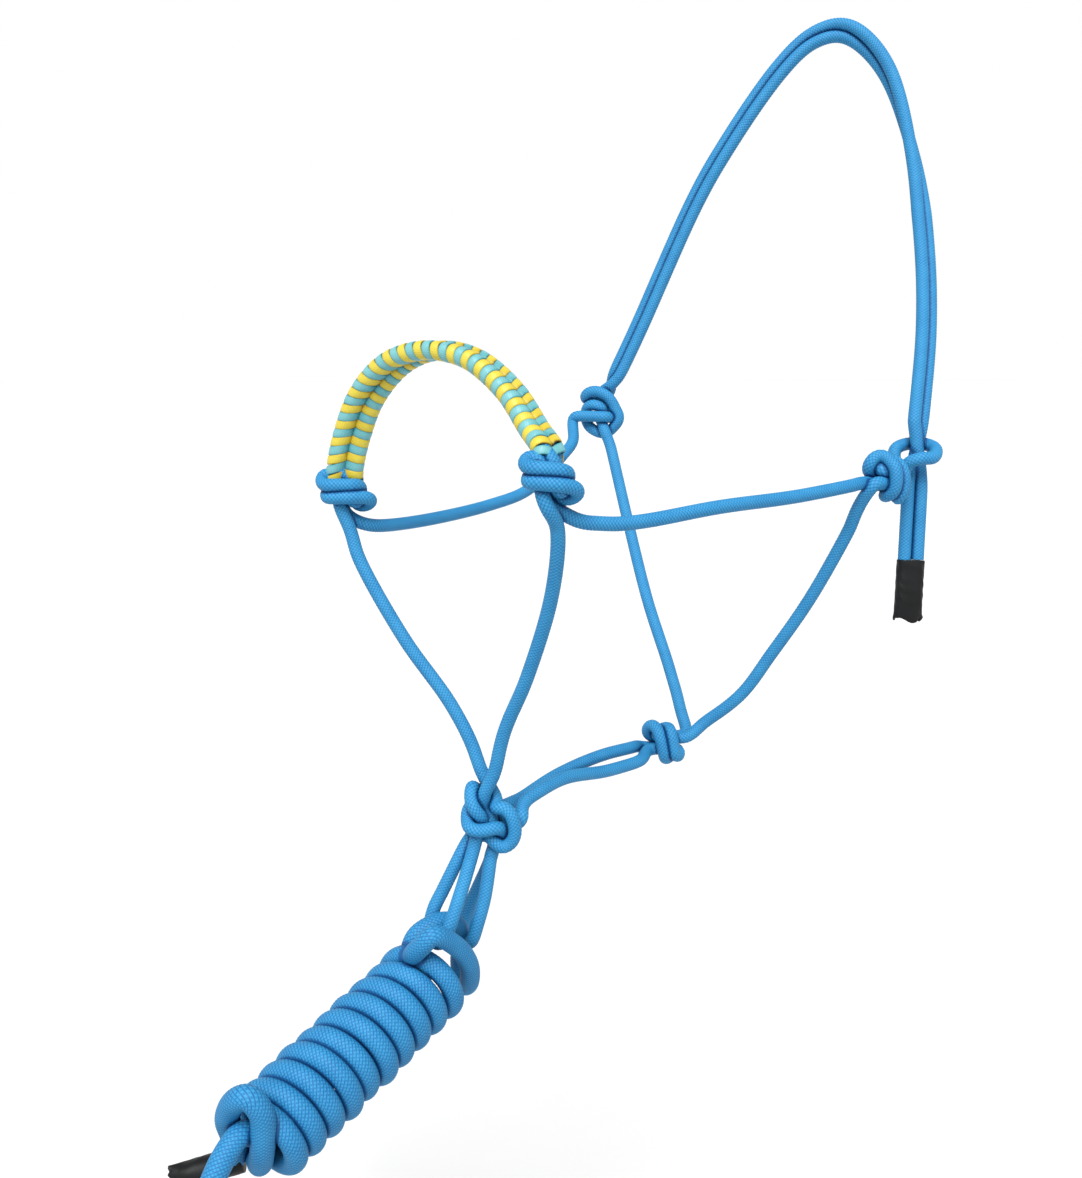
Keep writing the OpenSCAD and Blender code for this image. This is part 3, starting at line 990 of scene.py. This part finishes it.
def wrap(name, first, material):
    """One cord wound round both strands, with the other cord's turns between its own.

    At the two seams between the strands it dips in towards the middle, and is painted darker there, as
    shade.
    """
    steps, section = 56, 12
    length = distances(wrap_path)[-1]
    width = length / (2 * WRAP_COUNT + 1)
    thick = 1.5 * MM
    r = ROPE_D / 2 + thick / 2
    turns = np.arange(WRAP_COUNT * steps + 1) / steps
    a = 2 * np.pi * turns
    lobe = np.sign(np.cos(a))
    fold = np.radians(158)
    local = (a + np.pi / 2) % np.pi - np.pi / 2
    near_seam = np.abs(np.sin(a)) ** 8
    height = (first + 2 * turns) * width + 0.3 * width * (1 - 2 * np.abs(np.cos(a)))
    height = np.clip(height, 1.1 * MM, length - 1.1 * MM)
    centre = at_distances(wrap_path, height)
    t = unit(at_distances(wrap_path, height + MM) - at_distances(wrap_path, height - MM))
    half, u = nose_pair(centre, t)
    half = half[:, 0]
    v = np.cross(t, u)
    x = lobe * (half + r * np.cos(local * fold / (np.pi / 2))) * (1 - near_seam)
    y = lobe * r * np.sin(local * fold / (np.pi / 2))
    line = centre + x[:, None] * u + y[:, None] * v
    along = tangents(line)
    out = x[:, None] * u + y[:, None] * v - (lobe * half)[:, None] * u
    out = unit(out - (out * along).sum(1)[:, None] * along)
    wide = np.cross(along, out)
    b = 2 * np.pi * np.arange(section) / section
    flat_x = np.sign(np.cos(b)) * np.abs(np.cos(b)) ** 0.6 * width * 0.52
    flat_y = np.sign(np.sin(b)) * np.abs(np.sin(b)) ** 0.8 * thick * 0.5
    rings = (
        line[:, None]
        + flat_x[None, :, None] * wide[:, None]
        + flat_y[None, :, None] * out[:, None]
    )
    # Painted shade: darker towards the cord's edges, where its turns meet, and much darker at the seams
    relief = np.tile(1 - np.abs(np.cos(b)) ** 3 * 0.9, (len(line), 1))
    relief *= 1 - 0.8 * near_seam[:, None]
    threads = np.arange(section + 1) / section * 2
    lengthways = np.arange(len(line)) / steps * 8
    uv = np.stack(np.meshgrid(threads, lengthways), -1)
    shell = Shell()
    shell.add(rings, uv, relief)
    piece = shell.make(name, material)
    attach(piece, "noseband")
    return piece


yellow_wrap = wrap("yellow_wrap_cord", 0, yellow)
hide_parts("noseband_yellow_wrap")
turquoise_wrap = wrap("turquoise_wrap_cord", 1, turquoise)
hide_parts("noseband_turquoise_wrap")

# ---------------------------------------------------------------- the halter's pieces, the headstall's on its body


def body_of(name):
    for body in ("noseband", "crown"):
        if name.startswith(body):
            return body
    if name.startswith("tail_"):
        return "crown_tail"
    return "fiador_loops" if name.endswith("fiador_loop") else "headstall"


for (name, half), shell in shells.items():
    piece = shell.make("_".join(filter(None, [name, half, "braid"])), halter_blue)
    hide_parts(name)
    body = body_of(name)
    if body == "headstall":
        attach(piece, body)
    else:
        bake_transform(piece)
    if name == "eye_loop":
        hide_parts("strands_in_eye")

# ---------------------------------------------------------------- studio


def sun_light(name, towards, strength, softness):
    """A sun in the direction towards, with its apparent width in degrees."""
    light = bpy.data.lights.new(name, "SUN")
    light.energy = strength
    light.angle = math.radians(softness)
    lamp = bpy.data.objects.new(name, light)
    bpy.context.scene.collection.objects.link(lamp)
    back = unit(towards)
    right = unit(np.cross([0, 0, 1], back))
    up = np.cross(back, right)
    lamp.matrix_world = Matrix([[right[k], up[k], back[k], 0] for k in range(3)] + [[0, 0, 0, 1]])


def studio():
    """A wide white floor some way below the halter, a white sky and one soft light."""
    low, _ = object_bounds()
    size = 400
    z = low[2] - 0.16
    corners = [(-size, -size, z), (size, -size, z), (size, size, z), (-size, size, z)]
    mesh = bpy.data.meshes.new("floor")
    mesh.from_pydata(corners, [], [(0, 1, 2, 3)])
    floor = bpy.data.objects.new("floor", mesh)
    bpy.context.scene.collection.objects.link(floor)
    material, tree, shader = new_material("floor_white")
    shader.inputs["Base Color"].default_value = (0.62, 0.62, 0.62, 1)
    shader.inputs["Roughness"].default_value = 1.0
    shader.inputs["Specular IOR Level"].default_value = 0.0
    mesh.materials.append(material)
    floor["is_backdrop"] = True
    world = bpy.data.worlds.new("studio")
    world.use_nodes = True
    tree = world.node_tree
    place = node(tree, "ShaderNodeTexCoord").outputs["Generated"]
    height = node(tree, "ShaderNodeSeparateXYZ", {0: place}).outputs["Z"]
    sky = ramp(tree, height, [(0.0, (1, 1, 1)), (0.35, (1, 1, 1)), (0.8, (0.3, 0.3, 0.3))])
    tree.links.new(sky, tree.nodes["Background"].inputs[0])
    bpy.context.scene.world = world
    sun_light("key", (-0.55, -0.45, 1.0), 4.8, 40)


studio()
bpy.context.scene.view_settings.view_transform = "Standard"
